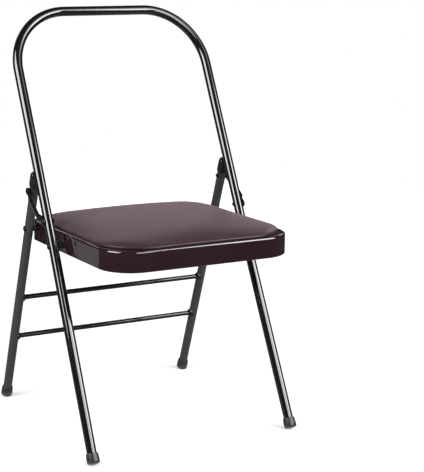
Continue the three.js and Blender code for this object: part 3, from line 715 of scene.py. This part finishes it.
def cushion_ring(inset, height):
    """The cushion's plan at an inset from its own edge, its sides drawn in."""
    return seat_ring(CUSHION_INSET + inset, height, CUSHION_FRONT_CORNER + CUSHION_INSET,
                     CUSHION_REAR_CORNER + CUSHION_INSET, CUSHION_DRAW, CORNER_STEPS, SIDE_STEPS)


def cushion_edge():
    """The cushion's edge as rings: a flat underside, a low roll and the start of the rise behind it."""
    base = PAN_TOP + GAP + CUSHION_BASE
    rings = [cushion_ring(i, h) for i, h in arc(CUSHION_BASE, base, CUSHION_BASE, 270, 180, 4)]
    for share in shares(8)[1:]:
        angle = ROLL_TURN * share
        inset = ROLL_WIDTH * (1 - math.cos(angle)) ** ROLL_POWER
        height = base + (CUSHION_EDGE - CUSHION_BASE) * math.sin(angle)
        rings.append(cushion_ring(inset, height))
    for share in shares(4)[1:]:
        rings.append(cushion_ring(inset + BLEND_WIDTH * share, height + BLEND_RISE * share))
    return rings


def cushion_top(ring):
    """A grid of points that fills a ring, with its corners at the middles of the ring's corners."""
    side = CORNER_STEPS + SIDE_STEPS
    crown = CUSHION_CROWN - CUSHION_EDGE - BLEND_RISE - CUSHION_SWELL

    def at(step):
        return ring[(CORNER_STEPS // 2 + step) % len(ring)]

    rows = []
    for j, v in enumerate(shares(side)):
        row = []
        for i, u in enumerate(shares(side)):
            between_sides = at(i) * (1 - v) + at(3 * side - i) * v
            between_ends = at(4 * side - j) * (1 - u) + at(side + j) * u
            right = at(0) * (1 - u) + at(side) * u
            left = at(3 * side) * (1 - u) + at(2 * side) * u
            point = between_sides + between_ends - right * (1 - v) - left * v
            point.z += crown * ((1 - (2 * u - 1) ** 2) * (1 - (2 * v - 1) ** 2)) ** CROWN_POWER
            row.append(point)
        rows.append(row)
    return rows


def border_step(i, j, side):
    """How far round its border a point of a square grid lies, or None for a point inside."""
    if j == 0:
        return i
    if i == side:
        return side + j
    if j == side:
        return 3 * side - i
    if i == 0:
        return 4 * side - j
    return None


def cushion():
    """A padded cushion: a low roll round its edge, and a top that its cover's pressure fills."""
    rings = cushion_edge()
    count = len(rings[0])
    verts = [point for ring in rings for point in ring]
    faces = grid_faces(len(rings), count) + [tuple(range(count))]
    held = len(verts)
    side = CORNER_STEPS + SIDE_STEPS
    numbers = {}
    for j, row in enumerate(cushion_top(rings[-1])):
        for i, point in enumerate(row):
            step = border_step(i, j, side)
            if step is None:
                numbers[i, j] = len(verts)
                verts.append(point)
            else:
                numbers[i, j] = held - count + (CORNER_STEPS // 2 + step) % count
    faces += [(numbers[i, j], numbers[i + 1, j], numbers[i + 1, j + 1], numbers[i, j + 1])
              for j in range(side) for i in range(side)]
    obj = new_piece("cushion", verts, faces, SEAT_FRAME, VINYL, "seat",
                    ["seat_cushion"], 60)
    swell(obj, range(held), CUSHION_SWELL * MM)
    finer = obj.modifiers.new("finer", "SUBSURF")
    finer.levels = 1
    finer.render_levels = 1
    return obj


def swell(obj, held, most):
    """Fills a cover by cloth simulation with some pressure inside, and keeps the form it takes."""
    frames = 20
    group = obj.vertex_groups.new(name="held")
    group.add(list(held), 1.0, "REPLACE")
    start = [v.co.copy() for v in obj.data.vertices]
    cloth = obj.modifiers.new("cover", "CLOTH")
    cloth.settings.vertex_group_mass = "held"
    cloth.settings.quality = 8
    cloth.settings.use_pressure = True
    cloth.settings.uniform_pressure_force = 4
    cloth.settings.effector_weights.gravity = 0
    cloth.point_cache.frame_start = 1
    cloth.point_cache.frame_end = frames
    for step in range(1, frames + 1):
        bpy.context.scene.frame_set(step)
    result = obj.evaluated_get(bpy.context.evaluated_depsgraph_get())
    moves = [v.co - a for v, a in zip(result.data.vertices, start)]
    obj.modifiers.remove(cloth)
    bpy.context.scene.frame_set(1)
    farthest = max(move.length for move in moves)
    for vertex, move in zip(obj.data.vertices, moves):
        vertex.co += move * most / max(farthest, most)
    print("cushion swell", round(farthest / MM, 2), "mm")


pan()
pad = cushion()


# The solids that stay as they are, with their finishes

def both(*stems):
    """The names of nodes that each side has one of."""
    return [f"{stem}_{side}" for stem in stems for side in SIDES]


def finish_nodes(names, mat):
    """Gives solids their finish."""
    for name in names:
        materials = frame["nodes"][name].data.materials
        materials.clear()
        materials.append(mat)


finish_nodes(both("seat_bush", "rear_bush", "link_washer"), NYLON)
finish_nodes(both("link_stub"), BLACK_STEEL)
finish_nodes(both("seat_nut") + [f"cushion_screw_{i}" for i in range(1, 5)], ZINC)
finish_nodes(both("hinge_plate") + ["seat_brace"], PLUM_INSIDE)
finish_nodes(["seat_board"], PLYWOOD)


# Floor, screens, lamps and world, in metres

FLOOR_RADIUS = 2.6
FLOOR_DROP = 0.0002
LAMP_DISTANCE = 2.1
LAMP_AIM = Vector((0, 0, 0.45))


def staged(name, verts, faces, colour):
    """A dull object round the chair, and its material."""
    mesh = bpy.data.meshes.new(name)
    mesh.from_pydata(verts, [], faces)
    obj = bpy.data.objects.new(name, mesh)
    bpy.context.scene.collection.objects.link(obj)
    mat = shader(name)[0]
    inputs = mat.node_tree.nodes["Principled BSDF"].inputs
    inputs["Base Color"].default_value = (colour, colour, colour, 1)
    inputs["Roughness"].default_value = 1.0
    inputs["Specular IOR Level"].default_value = 0.0
    inputs["Emission Color"].default_value = (1, 1, 1, 1)
    mesh.materials.append(mat)
    return obj, mat


def to_pale_rays(nodes, links):
    """1 for the rays that see the pale background: camera, glossy and transmission. 0 for the rest."""
    path = nodes.new("ShaderNodeLightPath")
    total = path.outputs["Is Camera Ray"]
    for ray in ("Is Glossy Ray", "Is Transmission Ray"):
        either = nodes.new("ShaderNodeMath")
        either.operation = "MAXIMUM"
        links.new(total, either.inputs[0])
        links.new(path.outputs[ray], either.inputs[1])
        total = either.outputs[0]
    return total


def floor():
    """A pale paper floor that keeps the shadow and turns into the white background further out."""
    rim = [(x, y, 0) for x, y in circle(FLOOR_RADIUS, 96)]
    obj, mat = staged("floor", rim, [tuple(range(len(rim)))], 0.8)
    obj.location.z = -FLOOR_DROP
    nodes = mat.node_tree.nodes
    links = mat.node_tree.links
    coords = nodes.new("ShaderNodeTexCoord")
    reach = nodes.new("ShaderNodeVectorMath")
    reach.operation = "LENGTH"
    links.new(coords.outputs["Object"], reach.inputs[0])
    glow = nodes.new("ShaderNodeMapRange")
    glow.inputs["From Min"].default_value = 0.8
    glow.inputs["From Max"].default_value = 2.2
    glow.inputs["To Min"].default_value = 0.4
    glow.inputs["To Max"].default_value = 1.0
    links.new(reach.outputs["Value"], glow.inputs["Value"])
    lift = nodes.new("ShaderNodeMath")
    lift.operation = "MULTIPLY"
    links.new(to_pale_rays(nodes, links), lift.inputs[0])
    links.new(glow.outputs["Result"], lift.inputs[1])
    links.new(lift.outputs[0], nodes["Principled BSDF"].inputs["Emission Strength"])


def heading(azimuth, distance, height):
    """A place round the chair, its azimuth in degrees from straight in front towards -X."""
    angle = math.radians(azimuth)
    return Vector((-distance * math.sin(angle), -distance * math.cos(angle), height))


def curtain(name, profile, start, end, radiance):
    """A screen round the chair from one azimuth to another, which only gloss picks up."""
    azimuths = [start + (end - start) * share for share in shares(72)]
    verts = [heading(azimuth, radius, height) for azimuth in azimuths for radius, height in profile]
    obj, mat = staged(name, verts, grid_faces(len(azimuths), len(profile), closed=False), 0)
    mat.node_tree.nodes["Principled BSDF"].inputs["Emission Strength"].default_value = radiance
    mat.cycles.emission_sampling = "NONE"
    obj.visible_camera = False
    obj.visible_diffuse = False
    obj.visible_transmission = False
    obj.visible_volume_scatter = False
    obj.visible_shadow = False


def softbox(name, azimuth, rise, width, height, radiance):
    """A rectangular lamp that faces the chair, its power worked out from its brightness."""
    place = heading(azimuth, LAMP_DISTANCE, rise)
    data = bpy.data.lights.new(name, "AREA")
    data.shape = "RECTANGLE"
    data.size = width
    data.size_y = height
    data.energy = math.pi * width * height * radiance
    obj = bpy.data.objects.new(name, data)
    bpy.context.scene.collection.objects.link(obj)
    facing = (LAMP_AIM - place).to_track_quat("-Z", "Y").to_matrix().to_4x4()
    obj.matrix_world = Matrix.Translation(place) @ facing


def world():
    """White to the camera and in gloss, and a low fill for the rest."""
    sky = bpy.data.worlds.new("studio")
    bpy.context.scene.world = sky
    sky.use_nodes = True
    nodes = sky.node_tree.nodes
    links = sky.node_tree.links
    blend = nodes.new("ShaderNodeMapRange")
    blend.inputs["To Min"].default_value = 0.25
    blend.inputs["To Max"].default_value = 1.0
    links.new(to_pale_rays(nodes, links), blend.inputs["Value"])
    ground = nodes["Background"]
    ground.inputs["Color"].default_value = (1, 1, 1, 1)
    links.new(blend.outputs["Result"], ground.inputs["Strength"])


# The gloss sees a grey floor and dark walls, with lighter patches for cushion and pan
UNDERFOOT = [(0.02, 0.01), (1.0, 0.01)]
FLOOR_AROUND = [(1.0, 0.01), (2.5, 0.01)]
WALLS_AND_CEILING = [(2.5, 0.01), (2.5, 3.0), (1.4, 4.2), (0.1, 4.5)]
floor()
curtain("curtain_near", UNDERFOOT, 0, 360, 0.25)
curtain("curtain_front", FLOOR_AROUND, -140, 140, 0.05)
curtain("curtain_side", FLOOR_AROUND, 140, 149, 0.34)
curtain("curtain_gap", FLOOR_AROUND, 149, 162, 0.05)
curtain("curtain_back", FLOOR_AROUND, 162, 220, 0.36)
curtain("curtain_walls", WALLS_AND_CEILING, 0, 360, 0.05)
curtain("curtain_glow", [(2.45, 1.1), (2.45, 1.8)], 192, 224, 0.95)
curtain("curtain_strip", [(2.4, 1.35), (2.35, 1.7)], 163, 179, 2.4)
curtain("curtain_spot", [(2.4, 1.15), (2.35, 1.7)], 230, 240, 3.5)
world()
softbox("lamp_left", 85, 1.6, 1.65, 1.5, 7)
softbox("lamp_front", -7, 1.3, 1.3, 1.1, 5)
softbox("lamp_right", -43, 1.45, 1.08, 1.2, 8.5)
softbox("lamp_high", -43, 2.65, 1.1, 1.1, 1.6)


# The camera, as fitted to the photograph

AZIMUTH = math.radians(-28.12)
ELEVATION = math.radians(12.52)
ROLL = math.radians(0.77)
AIM = Vector((0, 0.2 - ORIGIN_Y * MM, 0.4))
DISTANCE = 2.72767
DROP = 0.0193
FOCAL_LENGTH = 1387.3           # in pixels
IMAGE_WIDTH = 424               # in pixels
SENSOR_WIDTH = 36
SHIFT = (0.1463, -0.00995)

back = Vector((math.sin(AZIMUTH) * math.cos(ELEVATION), -math.cos(AZIMUTH) * math.cos(ELEVATION),
               math.sin(ELEVATION)))
level = Vector((math.cos(AZIMUTH), math.sin(AZIMUTH), 0))
rising = back.cross(level)
right = level * math.cos(ROLL) + rising * math.sin(ROLL)
up = rising * math.cos(ROLL) - level * math.sin(ROLL)
camera = bpy.data.cameras.new("camera")
camera.sensor_fit = "HORIZONTAL"
camera.sensor_width = SENSOR_WIDTH
camera.lens = SENSOR_WIDTH * FOCAL_LENGTH / IMAGE_WIDTH
camera.shift_x = SHIFT[0]
camera.shift_y = SHIFT[1]
camera.clip_end = 200
view = bpy.data.objects.new("camera", camera)
bpy.context.scene.collection.objects.link(view)
turn = Matrix((right, up, back)).transposed().to_4x4()
view.matrix_world = Matrix.Translation(AIM + back * DISTANCE - up * DROP) @ turn
bpy.context.scene.camera = view
bpy.context.scene.view_settings.view_transform = "Standard"
